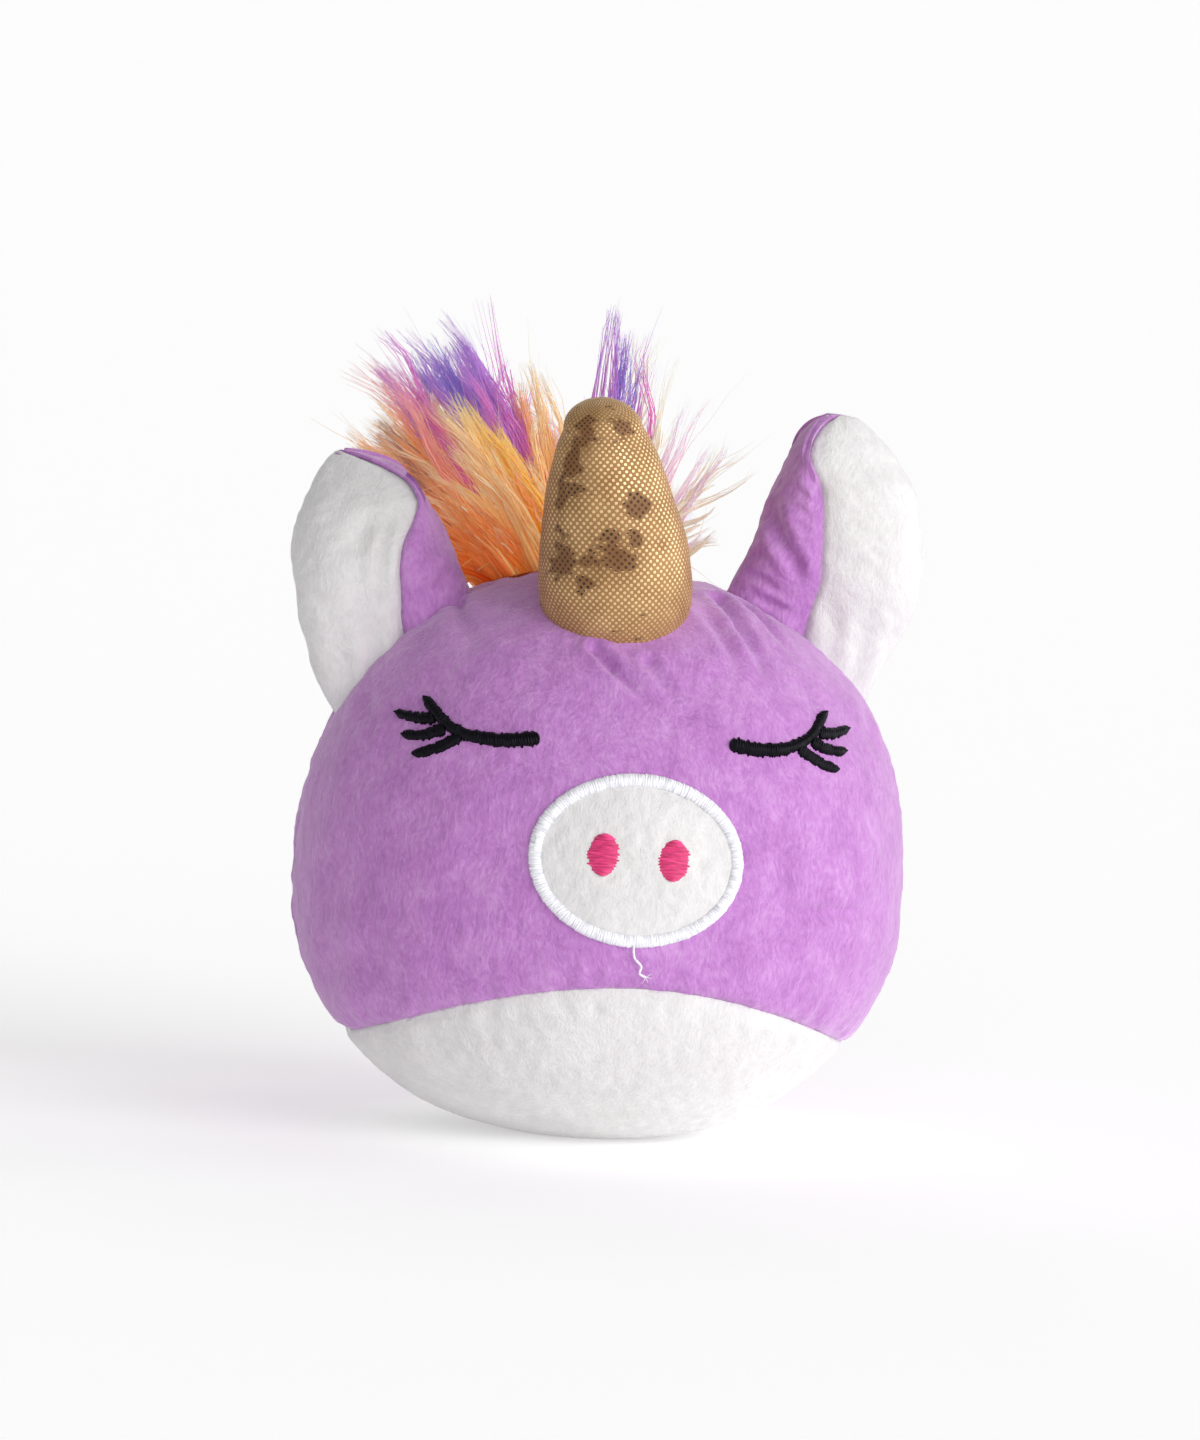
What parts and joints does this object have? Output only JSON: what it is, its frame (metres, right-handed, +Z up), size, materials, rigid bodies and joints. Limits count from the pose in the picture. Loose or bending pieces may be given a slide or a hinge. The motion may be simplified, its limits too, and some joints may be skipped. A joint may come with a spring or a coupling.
{
  "type": "stuffed toy unicorn",
  "caption": "Ball-shaped stuffed toy unicorn with a soft gold horn, sewn ears, an embroidered sleeping face, an oval snout and a tuft of long hair.",
  "frame": {"origin": "centre of the flat patch the toy rests on, at the resting plane", "axes": "+Z up, -Y is where the face looks, +X is the toy's own left"},
  "size_m": [0.1095, 0.1023, 0.1384],
  "materials": {
    "plush_lilac": "short, brushed lilac pile",
    "plush_white": "short, brushed white pile",
    "foil_gold": "knit with gold foil dots, satin metallic",
    "thread_white": "glossy white satin stitch",
    "thread_pink": "glossy pink satin stitch",
    "thread_black": "glossy black satin stitch",
    "thread_lilac": "lilac sewing thread",
    "fur_rainbow": "long soft hair in orange, yellow, pink, purple and blue",
    "polyester_fibre": "loose white polyester stuffing",
    "non_woven": "thin white non-woven backing",
    "satin_label": "blank white satin ribbon"
  },
  "bodies": {
    "body": {"belly_panel": "plush_white", "face_panel": "plush_lilac", "back_panel_left": "plush_lilac", "back_panel_right": "plush_lilac", "body_filling": "polyester_fibre", "snout_patch": "plush_white", "snout_border": "thread_white", "snout_stabiliser": "non_woven", "nostril_left": "thread_pink", "nostril_right": "thread_pink", "eye_left": "thread_black", "eye_stabiliser_left": "non_woven", "eye_right": "thread_black", "eye_stabiliser_right": "non_woven", "mane_backing": "fur_rainbow", "closing_stitch": "thread_lilac", "snout_thread_end": "thread_white"},
    "horn": {"horn_cover": "foil_gold", "horn_filling": "polyester_fibre"},
    "ear_left": {"ear_left_white": "plush_white", "ear_left_lilac": "plush_lilac", "ear_left_filling": "polyester_fibre"},
    "ear_right": {"ear_right_white": "plush_white", "ear_right_lilac": "plush_lilac", "ear_right_filling": "polyester_fibre"},
    "mane": {"mane_lock_far_right": "fur_rainbow", "mane_lock_right": "fur_rainbow", "mane_lock_mid_right": "fur_rainbow", "mane_lock_centre": "fur_rainbow", "mane_lock_left": "fur_rainbow", "mane_lock_back": "fur_rainbow"},
    "label": {"care_label": "satin_label"}
  },
  "joints": [
    {"name": "horn_nod", "type": "hinge", "parent": "body", "child": "horn", "pos_m": [-0.0018, -0.02, 0.09416], "axis": [1, 0, 0], "range_deg": [-12, 12], "stiffness_Nm_per_rad": 0.05},
    {"name": "ear_left_flop", "type": "hinge", "parent": "body", "child": "ear_left", "pos_m": [0.03457, -0.001, 0.08756], "axis": [0.8191, 0, -0.5736], "range_deg": [-25, 25], "stiffness_Nm_per_rad": 0.02},
    {"name": "ear_right_flop", "type": "hinge", "parent": "body", "child": "ear_right", "pos_m": [-0.03817, -0.001, 0.08462], "axis": [0.7431, 0, 0.6691], "range_deg": [-25, 25], "stiffness_Nm_per_rad": 0.02},
    {"name": "mane_sway", "type": "hinge", "parent": "body", "child": "mane", "pos_m": [0, 0.012, 0.09688], "axis": [1, 0, 0], "range_deg": [-20, 8], "stiffness_Nm_per_rad": 0.01},
    {"name": "label_flap", "type": "hinge", "parent": "body", "child": "label", "pos_m": [0, 0.04068, 0.0153], "axis": [1, 0, 0], "range_deg": [-25, 25], "stiffness_Nm_per_rad": 0.0001}
  ]
}
